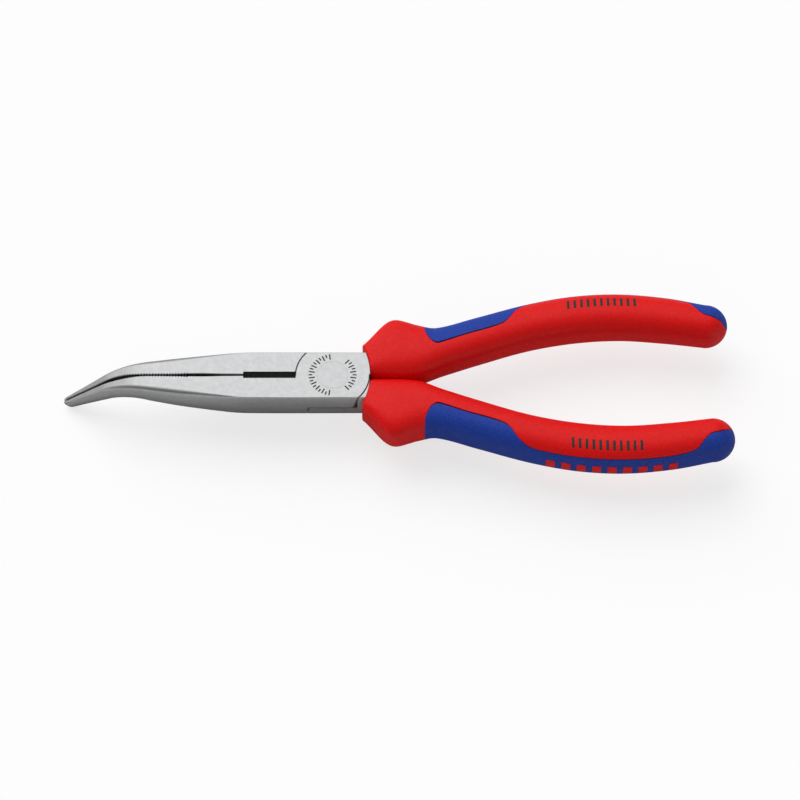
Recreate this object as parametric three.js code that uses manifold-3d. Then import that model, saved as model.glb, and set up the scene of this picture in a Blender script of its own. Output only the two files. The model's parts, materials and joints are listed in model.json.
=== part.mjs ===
// Bent needle nose pliers: two forged levers on a flush rivet, each with a two-component grip.
// Frame: the pivot axis is +Z, the nose points to -X, the handles to +X, lengths in millimetres.
// The origin is the centre of the rivet's end in the lower face of the joint.
import * as THREE from 'three';
import { mergeVertices } from 'three/addons/utils/BufferGeometryUtils.js';
import Module from 'manifold-3d';

const wasm = await Module();
wasm.setup();

// Overall
const OVERALL_LENGTH = 200;
const TIP_X = -81.35;
const GRIP_END_X = TIP_X + OVERALL_LENGTH;
const HEAD_THICKNESS = 9.5;
const MID_Z = HEAD_THICKNESS / 2;
const RUNNING_GAP = 0.3;

// Lap joint and rivet
const JOINT_RADIUS = 10.85;
const LAP_Z = 4.2;
const RIVET_SHANK_RADIUS = 3.4;
const RIVET_HEAD_RADIUS = 4.6;
const RIVET_HEAD_DEPTH = 1.2;
const RIVET_CLEARANCE = 0.2;
const ROUND_SEGMENTS = 48;

// Reach of a cutting body past what it cuts
const OVERSHOOT = 1;

// Bend of the nose, downwards from its straight top line
const BEND_ANGLE = THREE.MathUtils.degToRad(40);
const BEND_START = 54.8;
const BEND_RADIUS = 21.8;
const BEND_LENGTH = BEND_RADIUS * BEND_ANGLE;
const STRAIGHT_NOSE = (-TIP_X - BEND_START - BEND_RADIUS * Math.sin(BEND_ANGLE)) / Math.cos(BEND_ANGLE);
const NOSE_LENGTH = BEND_START + BEND_LENGTH + STRAIGHT_NOSE;

// Head and nose: [distance from the pivot along the nose, half width of the flat top, side bulge, thickness]
const NOSE_STATIONS = [
  [-12, 7.6, 0.7, 9.5],
  [25, 7.6, 0.7, 9.5],
  [31, 7.0, 1.3, 9.5],
  [45, 4.9, 2.2, 8.6],
  [57.5, 3.3, 2.0, 7.0],
  [72, 1.8, 1.4, 5.0],
  [NOSE_LENGTH, 0.7, 0.6, 3.0],
];
const NOSE_SECTIONS = [12, 25, 31, 38, 45, 52, 57, 61, 65, 69, 77];
const NOSE_SIDE_STEPS = 10;
const MATING_GAP = 0.15;
const HEAD_BACK_RADIUS = 22.2;
const HEAD_BACK_X = 10.95;

// Cutter recess in the mating faces
const CUTTER_START_X = -26.5;
const CUTTER_HALF_WIDTH = 1.3;
const CUTTER_BEVEL = 1.6;
const CUTTER_EDGE_LOW_Z = 4.4;
const CUTTER_EDGE_HIGH_Z = 5.0;

// Tang inside each grip: [x, distance from the tool axis, half width, half thickness]
const TANG_STATIONS = [
  [6, 5.2, 2.8, 3.2],
  [12, 6.4, 3.2, 3.0],
  [22, 9.6, 3.6, 2.8],
  [33, 10.8, 3.2, 2.6],
  [58, 19.0, 3.2, 2.6],
  [80, 22.5, 3.0, 2.5],
  [104, 20.9, 2.6, 2.3],
];
const TANG_SECTION_XS = [6, 12, 17, 22, 28, 33, 45, 58, 70, 80, 92, 104];
const TANG_SIDES = 8;

// Grip outline in plan: [x, distance from the tool axis]
const GRIP_INNER_SIDE = [
  [7, 0.35],
  [25, 0.5],
  [33, 3.5],
  [43, 7.1],
  [58, 12.0],
  [72, 14.8],
  [86, 15.8],
  [100, 14.8],
  [112, 13.3],
];
const GRIP_OUTER_SIDE = [
  [7, 10.7],
  [12.5, 15.9],
  [16.8, 20.0],
  [19.5, 20.4],
  [25.4, 18.7],
  [31, 17.8],
  [43, 21.4],
  [58, 26.0],
  [72, 28.9],
  [86, 29.7],
  [100, 28.4],
  [112, 25.9],
];
const GRIP_HALF_THICKNESS = [
  [7, 5.2],
  [18, 6.2],
  [100, 6.2],
  [112, 6.0],
];
const GRIP_SQUARENESS = 2.5;
const GRIP_CAP_START_X = 112;
const GRIP_COLUMNS = 18;
const GRIP_RING_XS = [
  7, 9.5, 12.5, 15, 17, 19.5, 22, 25, 29, 33, 40, 48, 58, 70, 82, 94, 104, 112, 115, 117.3, 118.6,
];

// Soft insert let into the outer side of the grip: [x, half angle that it takes of the section, in degrees]
const INSERT_SPREAD = [
  [28, 30],
  [30, 78],
  [33, 90],
  [51, 90],
  [57, 45],
  [62, 40],
  [100, 40],
  [106, 50],
  [111, 85],
  [117.3, 95],
];
const INSERT_RING_XS = [28, 29, 30, 33, 40, 48, 51.5, 54.5, 58, 70, 82, 94, 101, 105, 108, 111, 114, 116.5];
const INSERT_DEPTH = 1.8;
const INSERT_COLUMNS = 8;
const POCKET_PROUD = 1;

const steel = () => new THREE.MeshStandardMaterial({ color: 0xb9bbbd, metalness: 1, roughness: 0.38 });
const redPlastic = () => new THREE.MeshStandardMaterial({ color: 0xc80d0d, metalness: 0, roughness: 0.55 });
const blueRubber = () => new THREE.MeshStandardMaterial({ color: 0x223c90, metalness: 0, roughness: 0.6 });

// A smooth function through stations [x, value...], flat beyond both ends; column picks the value.
function through(stations, column = 1) {
  const last = stations.length - 1;
  const slope = (i) => {
    const before = stations[Math.max(i - 1, 0)];
    const after = stations[Math.min(i + 1, last)];
    return (after[column] - before[column]) / (after[0] - before[0]);
  };
  return (x) => {
    if (x <= stations[0][0]) return stations[0][column];
    if (x >= stations[last][0]) return stations[last][column];
    const i = stations.findIndex((s, k) => k < last && x < stations[k + 1][0]);
    const width = stations[i + 1][0] - stations[i][0];
    const t = (x - stations[i][0]) / width;
    const rise = stations[i + 1][column] - stations[i][column];
    const ease = t * t * (3 - 2 * t);
    const start = slope(i) * width * t * (1 - t) * (1 - t);
    const end = slope(i + 1) * width * t * t * (t - 1);
    return stations[i][column] + rise * ease + start + end;
  };
}

// A closed body through rings of equal point counts, with flat fan caps on both ends.
function loft(rings) {
  const count = rings[0].length;
  const points = rings.flat();
  const faces = [];
  for (let r = 0; r < rings.length - 1; r += 1) {
    for (let k = 0; k < count; k += 1) {
      const a = r * count + k;
      const b = r * count + ((k + 1) % count);
      faces.push(a, b, a + count, b, b + count, a + count);
    }
  }
  for (const [ring, flip] of [[0, true], [rings.length - 1, false]]) {
    const outline = rings[ring];
    const normal = outline[0].clone().sub(outline[1]).cross(outline[2].clone().sub(outline[1])).normalize();
    const u = outline[1].clone().sub(outline[0]).normalize();
    const v = normal.clone().cross(u);
    const flat = outline.map((p) => new THREE.Vector2(p.dot(u), p.dot(v)));
    const clockwise = THREE.ShapeUtils.isClockWise(flat);
    for (const [a, b, c] of THREE.ShapeUtils.triangulateShape(flat, [])) {
      const turned = [a, b, c].map((i) => ring * count + i);
      faces.push(...(clockwise === flip ? turned : turned.reverse()));
    }
  }
  return solid(points, faces);
}

function solid(points, faces) {
  const make = (triangles) => new wasm.Manifold(new wasm.Mesh({
    numProp: 3,
    vertProperties: new Float32Array(points.flatMap((p) => [p.x, p.y, p.z])),
    triVerts: new Uint32Array(triangles),
  }));
  const body = make(faces);
  return body.volume() > 0 ? body : make(faces.slice().reverse());
}

function solidFromGeometry(geometry) {
  geometry.deleteAttribute('normal');
  geometry.deleteAttribute('uv');
  const merged = mergeVertices(geometry, 1e-4);
  return new wasm.Manifold(new wasm.Mesh({
    numProp: 3,
    vertProperties: merged.attributes.position.array,
    triVerts: new Uint32Array(merged.index.array),
  }));
}

function disc(radius, lowZ, highZ, centreX = 0) {
  const geometry = new THREE.CylinderGeometry(radius, radius, highZ - lowZ, ROUND_SEGMENTS);
  geometry.rotateX(Math.PI / 2).translate(centreX, 0, (lowZ + highZ) / 2);
  return solidFromGeometry(geometry);
}

function block(low, high) {
  const size = high.clone().sub(low);
  const geometry = new THREE.BoxGeometry(size.x, size.y, size.z);
  const middle = low.clone().add(high).multiplyScalar(0.5);
  geometry.translate(middle.x, middle.y, middle.z);
  return solidFromGeometry(geometry);
}

function namedMesh(name, body, material) {
  const { vertProperties, triVerts } = body.getMesh();
  const geometry = new THREE.BufferGeometry();
  geometry.setAttribute('position', new THREE.BufferAttribute(new Float32Array(vertProperties), 3));
  geometry.setIndex(new THREE.BufferAttribute(new Uint32Array(triVerts), 1));
  geometry.computeVertexNormals();
  const mesh = new THREE.Mesh(geometry, material);
  mesh.name = name;
  return mesh;
}

// A point on the nose's top line, a distance along it from the pivot, and the direction down through it.
function noseFrame(distance) {
  const turned = THREE.MathUtils.clamp((distance - BEND_START) / BEND_LENGTH, 0, 1) * BEND_ANGLE;
  const straight = Math.max(distance - BEND_START - BEND_LENGTH, 0);
  const before = Math.min(distance, BEND_START);
  const x = -before - BEND_RADIUS * Math.sin(turned) - straight * Math.cos(turned);
  const z = HEAD_THICKNESS - BEND_RADIUS * (1 - Math.cos(turned)) - straight * Math.sin(turned);
  return {
    origin: new THREE.Vector3(x, 0, z),
    down: new THREE.Vector3(Math.sin(turned), 0, -Math.cos(turned)),
  };
}

// Half of the head, on one side of the mating plane: a flat top and bottom joined by a bulging side.
function halfHead(side, distances) {
  const topHalfWidth = through(NOSE_STATIONS, 1);
  const sideBulge = through(NOSE_STATIONS, 2);
  const thickness = through(NOSE_STATIONS, 3);
  const rings = distances.map((distance) => {
    const { origin, down } = noseFrame(distance);
    const at = (y, depth) => origin.clone().addScaledVector(down, depth).setY(side * y);
    const deep = thickness(distance);
    const ring = [at(MATING_GAP, 0)];
    for (let k = 0; k <= NOSE_SIDE_STEPS; k += 1) {
      const angle = (Math.PI * k) / NOSE_SIDE_STEPS;
      const y = topHalfWidth(distance) + sideBulge(distance) * Math.sin(angle);
      ring.push(at(y, (deep * (1 - Math.cos(angle))) / 2));
    }
    ring.push(at(MATING_GAP, deep));
    return ring;
  });
  return loft(rings);
}

// The slot between the jaws beside the joint, narrowed to the running gap along the two cutting edges.
function cutterRecess() {
  const w = CUTTER_HALF_WIDTH;
  const outline = [
    [w, HEAD_THICKNESS + OVERSHOOT],
    [w, CUTTER_EDGE_HIGH_Z + CUTTER_BEVEL],
    [MATING_GAP, CUTTER_EDGE_HIGH_Z],
    [MATING_GAP, CUTTER_EDGE_LOW_Z],
    [w, CUTTER_EDGE_LOW_Z - CUTTER_BEVEL],
    [w, -OVERSHOOT],
  ];
  const shape = new THREE.Shape();
  shape.moveTo(-w, HEAD_THICKNESS + OVERSHOOT);
  outline.forEach(([y, z]) => shape.lineTo(y, z));
  outline.slice(1).reverse().forEach(([y, z]) => shape.lineTo(-y, z));
  const geometry = new THREE.ExtrudeGeometry(shape, { depth: -CUTTER_START_X, bevelEnabled: false, steps: 1 });
  geometry.rotateX(Math.PI / 2).rotateZ(Math.PI / 2).translate(CUTTER_START_X, 0, 0);
  const joint = disc(JOINT_RADIUS, -OVERSHOOT, HEAD_THICKNESS + OVERSHOOT);
  return solidFromGeometry(geometry).subtract(joint);
}

// The strip of steel that runs down inside a grip; grow makes the hole that it lies in.
function tang(side, grow) {
  const offset = through(TANG_STATIONS, 1);
  const halfWidth = through(TANG_STATIONS, 2);
  const halfThickness = through(TANG_STATIONS, 3);
  const acrossCorners = 1 / Math.cos(Math.PI / TANG_SIDES);
  const sectionAt = (x) => Array.from({ length: TANG_SIDES }, (_, k) => {
    const angle = ((2 * k + 1) * Math.PI) / TANG_SIDES;
    const y = offset(x) + (halfWidth(x) + grow) * Math.cos(angle) * acrossCorners;
    return new THREE.Vector3(x, side * y, MID_Z + (halfThickness(x) + grow) * Math.sin(angle) * acrossCorners);
  });
  return loft([...TANG_SECTION_XS.slice(0, -1), TANG_SECTION_XS.at(-1) + grow].map(sectionAt));
}

// The large disc whose rim is the curved line where the shoulders end and the grips begin.
function backDisc(radius) {
  return disc(radius, -HEAD_THICKNESS, 2 * HEAD_THICKNESS, HEAD_BACK_X - HEAD_BACK_RADIUS);
}

// jawSide is the side of the mating plane that the jaw is on; the shoulder and the tang are on the other.
function lever(jawSide, lapLowZ, lapHighZ, otherLapLowZ, otherLapHighZ) {
  const jawSections = [0, ...NOSE_SECTIONS, NOSE_LENGTH];
  const shoulderSections = [-NOSE_SECTIONS[0], 0];
  const headBack = backDisc(HEAD_BACK_RADIUS);
  const jaw = halfHead(jawSide, jawSections);
  const shoulder = halfHead(-jawSide, shoulderSections).intersect(headBack);
  const across = [jawSide, -jawSide].map((side) => halfHead(side, [-NOSE_SECTIONS[0], NOSE_SECTIONS[0]]));
  const web = block(
    new THREE.Vector3(-JOINT_RADIUS, -2 * MATING_GAP, 0),
    new THREE.Vector3(JOINT_RADIUS, 2 * MATING_GAP, HEAD_THICKNESS),
  );
  const lap = across[0].add(across[1]).add(web).intersect(disc(JOINT_RADIUS, lapLowZ, lapHighZ));
  const otherLap = disc(JOINT_RADIUS + RUNNING_GAP, otherLapLowZ, otherLapHighZ);
  return jaw
    .add(shoulder)
    .add(tang(-jawSide, 0))
    .subtract(otherLap)
    .add(lap)
    .subtract(cutterRecess());
}

// A pin with a countersunk head at each end; grow makes the hole that it turns in.
function rivetGeometry(grow) {
  const reach = grow > 0 ? OVERSHOOT : 0;
  const profile = [
    [0, -reach],
    [RIVET_HEAD_RADIUS + grow, -reach],
    [RIVET_HEAD_RADIUS + grow, 0],
    [RIVET_SHANK_RADIUS + grow, RIVET_HEAD_DEPTH],
    [RIVET_SHANK_RADIUS + grow, HEAD_THICKNESS - RIVET_HEAD_DEPTH],
    [RIVET_HEAD_RADIUS + grow, HEAD_THICKNESS],
    [RIVET_HEAD_RADIUS + grow, HEAD_THICKNESS + reach],
    [0, HEAD_THICKNESS + reach],
  ].filter(([r, z], i, all) => i === 0 || r !== all[i - 1][0] || z !== all[i - 1][1]);
  const points = profile.map(([r, z]) => new THREE.Vector2(r, z));
  return new THREE.LatheGeometry(points, ROUND_SEGMENTS).rotateX(Math.PI / 2);
}

// Where the grip's section at x is: its centre, half width and half thickness, rounded off over the end.
function gripSection(x) {
  const inner = through(GRIP_INNER_SIDE)(x);
  const outer = through(GRIP_OUTER_SIDE)(x);
  const past = Math.max(x - GRIP_CAP_START_X, 0) / (GRIP_END_X - GRIP_CAP_START_X);
  const round = Math.sqrt(1 - past * past);
  return {
    centre: (inner + outer) / 2,
    halfWidth: ((outer - inner) / 2) * round,
    halfThickness: through(GRIP_HALF_THICKNESS)(x) * round,
  };
}

// A point of the grip's surface: angle 0 is the outer side, a quarter turn the top, depth is into the grip.
function gripPoint(side, x, angle, depth = 0) {
  const { centre, halfWidth, halfThickness } = gripSection(x);
  const c = Math.cos(angle);
  const s = Math.sin(angle);
  const power = 2 / GRIP_SQUARENESS;
  const y = centre + (halfWidth - depth) * Math.sign(c) * Math.abs(c) ** power;
  return new THREE.Vector3(x, side * y, MID_Z + (halfThickness - depth) * Math.sign(s) * Math.abs(s) ** power);
}

function wholeGrip(side) {
  const ringAt = (x) => Array.from(
    { length: GRIP_COLUMNS },
    (_, k) => gripPoint(side, x, ((k + 0.5) * 2 * Math.PI) / GRIP_COLUMNS),
  );
  return loft(GRIP_RING_XS.map(ringAt));
}

// The crescent-shaped strip of the insert; grow makes the pocket that it lies in.
function insertStrip(side, grow) {
  const spread = through(INSERT_SPREAD);
  const rings = INSERT_RING_XS.map((x, i) => {
    const end = i === 0 ? -1 : Number(i === INSERT_RING_XS.length - 1);
    const at = x + end * grow;
    const half = THREE.MathUtils.degToRad(spread(x)) + grow / gripSection(x).halfThickness;
    const angles = Array.from({ length: INSERT_COLUMNS + 1 }, (_, k) => half * ((2 * k) / INSERT_COLUMNS - 1));
    const outer = angles.map((angle) => gripPoint(side, at, angle, grow > 0 ? -POCKET_PROUD : 0));
    const inner = angles.reverse().map((angle) => gripPoint(side, at, angle, INSERT_DEPTH + grow));
    return [...outer, ...inner];
  });
  return loft(rings);
}

function grip(side) {
  const head = backDisc(HEAD_BACK_RADIUS + RUNNING_GAP);
  const body = wholeGrip(side).subtract(head).subtract(tang(side, RUNNING_GAP));
  return {
    shell: body.subtract(insertStrip(side, RUNNING_GAP)),
    insert: insertStrip(side, 0),
  };
}

const pliers = new THREE.Group();
const rivetHole = solidFromGeometry(rivetGeometry(RIVET_CLEARANCE));
const lowLapTop = LAP_Z - RUNNING_GAP / 2;
const highLapBottom = LAP_Z + RUNNING_GAP / 2;

// Lever a has the upper half of the lap, the jaw on the -Y side and the handle on the +Y side.
const leverA = lever(-1, highLapBottom, HEAD_THICKNESS, -OVERSHOOT, highLapBottom).subtract(rivetHole);
const leverB = lever(1, 0, lowLapTop, lowLapTop, HEAD_THICKNESS + OVERSHOOT).subtract(rivetHole);
pliers.add(namedMesh('lever_a', leverA, steel()));
pliers.add(namedMesh('lever_b', leverB, steel()));
pliers.add(namedMesh('joint_rivet', solidFromGeometry(rivetGeometry(0)), steel()));

for (const [letter, side] of [['a', 1], ['b', -1]]) {
  const { shell, insert } = grip(side);
  pliers.add(namedMesh(`grip_shell_${letter}`, shell, redPlastic()));
  pliers.add(namedMesh(`grip_insert_${letter}`, insert, blueRubber()));
}

export default pliers;
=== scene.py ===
"""Visual model of the bent needle nose pliers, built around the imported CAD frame.

Shapes are worked out in millimetres and scaled to metres when a piece is finished.
"""

import json
import logging
import math
from collections.abc import Callable, Iterable, Sequence
from dataclasses import dataclass, field
from enum import Enum

import bmesh
import bpy
from mathutils import Matrix, Vector

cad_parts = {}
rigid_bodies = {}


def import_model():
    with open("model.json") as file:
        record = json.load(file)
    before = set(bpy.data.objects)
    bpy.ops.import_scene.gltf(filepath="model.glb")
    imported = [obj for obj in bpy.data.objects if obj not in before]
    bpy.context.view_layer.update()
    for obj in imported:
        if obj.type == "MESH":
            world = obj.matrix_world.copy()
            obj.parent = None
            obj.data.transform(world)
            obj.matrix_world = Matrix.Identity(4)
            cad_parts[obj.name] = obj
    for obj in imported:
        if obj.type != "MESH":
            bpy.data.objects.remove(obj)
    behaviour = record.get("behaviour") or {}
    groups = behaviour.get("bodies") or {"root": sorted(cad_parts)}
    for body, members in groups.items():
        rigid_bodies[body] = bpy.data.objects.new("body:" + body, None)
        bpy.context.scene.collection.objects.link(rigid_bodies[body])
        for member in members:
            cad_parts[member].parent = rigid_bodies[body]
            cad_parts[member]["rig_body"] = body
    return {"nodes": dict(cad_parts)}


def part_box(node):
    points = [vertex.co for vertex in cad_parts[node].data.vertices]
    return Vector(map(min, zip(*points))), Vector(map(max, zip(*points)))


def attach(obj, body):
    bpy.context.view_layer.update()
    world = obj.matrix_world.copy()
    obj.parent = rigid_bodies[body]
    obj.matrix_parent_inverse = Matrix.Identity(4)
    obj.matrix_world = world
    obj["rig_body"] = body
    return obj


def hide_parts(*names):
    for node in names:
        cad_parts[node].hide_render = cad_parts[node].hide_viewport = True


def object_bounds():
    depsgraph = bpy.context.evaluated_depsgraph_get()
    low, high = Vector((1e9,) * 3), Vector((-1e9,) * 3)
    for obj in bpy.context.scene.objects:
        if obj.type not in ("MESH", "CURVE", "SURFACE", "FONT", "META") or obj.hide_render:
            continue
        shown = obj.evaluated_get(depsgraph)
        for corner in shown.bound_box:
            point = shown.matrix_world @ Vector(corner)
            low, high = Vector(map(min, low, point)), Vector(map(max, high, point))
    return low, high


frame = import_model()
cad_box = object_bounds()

Socket = bpy.types.NodeSocket
Colour = tuple[float, float, float]

MM = 0.001
MERGE_MM = 1e-4
PLACE_TOLERANCE_MM = 1e-6
OVERSHOOT_MM = 1.0
SMOOTH_ANGLE = math.radians(24)
FLATS_WEIGHT = 100
# the faces that get painted shade: those in the gaps between the jaws and in the cutter slot
GAP_SHADE_FACES = "painted_gap_shade"
GRAIN_HEIGHT = 0.0001
VIEW_CENTRE_X = 0.020
VIEW_CENTRE_Y = -0.0059
FLOOR_GAP_MM = 0.1
log = logging.getLogger("pliers")


class Side(Enum):
    """The side of the tool's centre plane that something lies on."""

    PLUS_Y = 1
    MINUS_Y = -1

    @property
    def other(self) -> "Side":
        """The opposite side."""
        return Side(-self.value)


class Join(Enum):
    """What a boolean does with its tool."""

    ADD = "UNION"
    CUT = "DIFFERENCE"
    KEEP = "INTERSECT"


class Slot(Enum):
    """The record's material slots."""

    STEEL = "ground_steel"
    RIVET = "rivet_steel"
    RED = "red_plastic"
    BLUE = "blue_soft_plastic"


@dataclass(frozen=True)
class Track:
    """A value that runs smoothly through stations of (place, value), flat beyond both ends."""

    stations: tuple[tuple[float, float], ...]

    def _slope(self, index: int) -> float:
        """The rise per millimetre at one station.

        Args:
            index: the station's place in the list.

        Returns:
            The slope through its two neighbours.
        """
        before = self.stations[max(index - 1, 0)]
        after = self.stations[min(index + 1, len(self.stations) - 1)]
        return (after[1] - before[1]) / (after[0] - before[0])

    def at(self, place: float) -> float:
        """The value at one place.

        Args:
            place: where along the tool, in the stations' own units.

        Returns:
            The value there.
        """
        first, last = self.stations[0], self.stations[-1]
        if place <= first[0]:
            return first[1]
        if place >= last[0]:
            return last[1]
        i = max(k for k, s in enumerate(self.stations) if s[0] <= place)
        (x0, v0), (x1, v1) = self.stations[i], self.stations[i + 1]
        width = x1 - x0
        t = (place - x0) / width
        rise = (v1 - v0) * t * t * (3 - 2 * t)
        start = self._slope(i) * width * t * (1 - t) ** 2
        end = self._slope(i + 1) * width * t * t * (t - 1)
        return v0 + rise + start + end


def steps(first: float, last: float, count: int) -> list[float]:
    """Evenly spaced places from first to last, both included.

    Args:
        first: the first place.
        last: the last place.
        count: how many steps lie between them.

    Returns:
        The places, count + 1 of them.
    """
    return [first + (last - first) * k / count for k in range(count + 1)]


def signed_power(value: float, power: float) -> float:
    """The power of a value's size, with the value's own sign."""
    return math.copysign(abs(value) ** power, value)


# --------------------------------------------------------------------------------------
# Mesh work
# --------------------------------------------------------------------------------------


def sheet_through(
    bm: bmesh.types.BMesh, rows: Sequence[Sequence[Vector]]
) -> list[list[bmesh.types.BMVert]]:
    """Lays a grid of faces through rows of points.

    Args:
        bm: the mesh that takes the grid.
        rows: rows of points in millimetres, all equally long.

    Returns:
        The grid's vertices, row by row.
    """
    across = len(rows[0])
    made = bmesh.ops.create_grid(bm, x_segments=across - 1, y_segments=len(rows) - 1, size=1)["verts"]
    grid = [made[r * across : (r + 1) * across] for r in range(len(rows))]
    for verts, points in zip(grid, rows, strict=True):
        for vert, point in zip(verts, points, strict=True):
            vert.co = point
    return grid


def close_tube(bm: bmesh.types.BMesh) -> None:
    """Joins a sheet's meeting edges, fills its two ends and turns every face outwards.

    Args:
        bm: the mesh that holds the sheet.
    """
    bmesh.ops.remove_doubles(bm, verts=bm.verts, dist=MERGE_MM)
    bmesh.ops.dissolve_degenerate(bm, edges=bm.edges, dist=MERGE_MM)
    open_edges = [e for e in bm.edges if e.is_boundary]
    if open_edges:
        bmesh.ops.holes_fill(bm, edges=open_edges, sides=0)
    bmesh.ops.recalc_face_normals(bm, faces=bm.faces)


def loft(rings: Sequence[Sequence[Vector]]) -> bmesh.types.BMesh:
    """A closed body through rings of points.

    Args:
        rings: outlines in millimetres, each a closed loop given once round.

    Returns:
        The body as a new mesh in edit form.
    """
    bm = bmesh.new()
    sheet_through(bm, [[*ring, ring[0]] for ring in rings])
    close_tube(bm)
    return bm


def turned_body(profile: Iterable[tuple[float, float]], segments: int = 128) -> bmesh.types.BMesh:
    """A body turned about the pivot axis.

    Args:
        profile: (radius, height) pairs that start and end on the axis.
        segments: how many steps go round.

    Returns:
        The closed body.
    """
    bm = bmesh.new()
    verts = [bm.verts.new((radius, 0, height)) for radius, height in profile]
    edges = [bm.edges.new(pair) for pair in zip(verts[:-1], verts[1:], strict=True)]
    bmesh.ops.spin(
        bm,
        geom=[*verts, *edges],
        cent=(0, 0, 0),
        axis=(0, 0, 1),
        angle=2 * math.pi,
        steps=segments,
        use_merge=True,
    )
    bmesh.ops.remove_doubles(bm, verts=bm.verts, dist=MERGE_MM)
    bmesh.ops.recalc_face_normals(bm, faces=bm.faces)
    return bm


def to_object(name: str, bm: bmesh.types.BMesh) -> bpy.types.Object:
    """Turns a mesh in edit form into a linked object and frees it.

    Args:
        name: the object's name.
        bm: the mesh in edit form.

    Returns:
        The object.
    """
    mesh = bpy.data.meshes.new(name)
    bm.to_mesh(mesh)
    bm.free()
    obj = bpy.data.objects.new(name, mesh)
    bpy.context.scene.collection.objects.link(obj)
    return obj


def join(target: bpy.types.Object, tool: bpy.types.Object, how: Join) -> None:
    """Applies a boolean to target and removes the tool.

    Args:
        target: the object that is changed.
        tool: the object that adds, cuts or trims.
        how: what the tool does.
    """
    modifier = target.modifiers.new("join", "BOOLEAN")
    modifier.operation = how.value
    modifier.solver = "EXACT"
    modifier.object = tool
    graph = bpy.context.evaluated_depsgraph_get()
    result = bpy.data.meshes.new_from_object(target.evaluated_get(graph))
    target.modifiers.clear()
    target.data = result
    bpy.data.objects.remove(tool)


def finish_piece(
    obj: bpy.types.Object,
    body: str,
    material: bpy.types.Material,
    stands_for: str | None = None,
) -> None:
    """Scales a piece to metres, shades it, dresses it and hangs it on its body.

    Args:
        obj: the piece, in millimetres.
        body: the CAD body that it moves with.
        material: its material.
        stands_for: the CAD node that it replaces, if any.
    """
    mesh = obj.data
    mesh.transform(Matrix.Scale(MM, 4))
    mesh.materials.clear()
    mesh.materials.append(material)
    for polygon in mesh.polygons:
        polygon.material_index = 0
    mesh.shade_smooth()
    mesh.set_sharp_from_angle(angle=SMOOTH_ANGLE)
    flats = obj.modifiers.new("even_flats", "WEIGHTED_NORMAL")
    flats.keep_sharp = True
    flats.weight = FLATS_WEIGHT
    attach(obj, body)
    if stands_for:
        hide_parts(stands_for)
    log.info("%s: %d faces on %s", obj.name, len(mesh.polygons), body)


@dataclass(frozen=True)
class ToolPlaces:
    """The places that the CAD frame gives, in millimetres."""

    top_z: float
    tip_x: float
    grip_end_x: float
    rivet_radius: float
    floor_z: float

    @classmethod
    def from_frame(cls) -> "ToolPlaces":
        """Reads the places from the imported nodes.

        Returns:
            The places.
        """
        rivet_low, rivet_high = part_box("joint_rivet")
        lever_low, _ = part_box("lever_a")
        _, grip_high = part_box("grip_shell_a")
        low, _ = cad_box
        return cls(
            top_z=rivet_high.z / MM,
            tip_x=lever_low.x / MM,
            grip_end_x=grip_high.x / MM,
            rivet_radius=(rivet_high.x - rivet_low.x) / 2 / MM,
            floor_z=low[2] / MM,
        )

    @property
    def mid_z(self) -> float:
        """The height of the joint's middle plane."""
        return self.top_z / 2


# --------------------------------------------------------------------------------------
# Finishes
# --------------------------------------------------------------------------------------


class NodeSheet:
    """A node tree with short calls for adding and wiring its nodes."""

    def __init__(self, tree: bpy.types.NodeTree) -> None:
        """Takes the tree to draw in."""
        self.tree = tree

    def add(self, kind: str, **settings: object) -> bpy.types.Node:
        """Adds a node.

        Args:
            kind: the node's type.
            settings: the properties to set on it.

        Returns:
            The node.
        """
        node = self.tree.nodes.new(kind)
        for key, value in settings.items():
            setattr(node, key, value)
        return node

    def wire(self, source: Socket, target: Socket) -> None:
        """Links two sockets."""
        self.tree.links.new(source, target)

    def noise(self, vector: Socket, scale: float, detail: float) -> Socket:
        """A noise value over the surface.

        Args:
            vector: the coordinates that it is laid on.
            scale: how fine it is.
            detail: how many finer layers it has.

        Returns:
            The value.
        """
        node = self.add("ShaderNodeTexNoise")
        node.inputs["Scale"].default_value = scale
        node.inputs["Detail"].default_value = detail
        self.wire(vector, node.inputs["Vector"])
        return node.outputs["Fac"]

    def spread(self, value: Socket, low: float, high: float, edges: tuple[float, float]) -> Socket:
        """Maps a value from between two edges to between low and high.

        Args:
            value: the value.
            low: what it becomes at the first edge and below.
            high: what it becomes at the second edge and above.
            edges: the two edges.

        Returns:
            The mapped value.
        """
        node = self.add("ShaderNodeMapRange")
        node.inputs["From Min"].default_value = edges[0]
        node.inputs["From Max"].default_value = edges[1]
        node.inputs["To Min"].default_value = low
        node.inputs["To Max"].default_value = high
        self.wire(value, node.inputs["Value"])
        return node.outputs["Result"]

    def tint(self, mask: Socket, first: Colour, second: Colour) -> Socket:
        """A colour that runs from first to second with the mask.

        Args:
            mask: 0 for the first colour, 1 for the second.
            first: a colour.
            second: another colour.

        Returns:
            The mixed colour.
        """
        node = self.add("ShaderNodeMix", data_type="RGBA")
        node.inputs["A"].default_value = (*first, 1)
        node.inputs["B"].default_value = (*second, 1)
        self.wire(mask, node.inputs["Factor"])
        return node.outputs["Result"]

    def blend(self, mask: Socket, first: Socket, second: Colour) -> Socket:
        """A colour that runs from another node's colour to second with the mask.

        Args:
            mask: 0 for the first colour, 1 for the second.
            first: the other node's colour.
            second: a plain colour.

        Returns:
            The mixed colour.
        """
        node = self.add("ShaderNodeMix", data_type="RGBA")
        node.inputs["B"].default_value = (*second, 1)
        self.wire(first, node.inputs["A"])
        self.wire(mask, node.inputs["Factor"])
        return node.outputs["Result"]

    def larger(self, first: Socket, second: Socket) -> Socket:
        """The larger of two values.

        Args:
            first: a value.
            second: another value.

        Returns:
            The larger one.
        """
        node = self.add("ShaderNodeMath", operation="MAXIMUM")
        self.wire(first, node.inputs[0])
        self.wire(second, node.inputs[1])
        return node.outputs["Value"]


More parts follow.
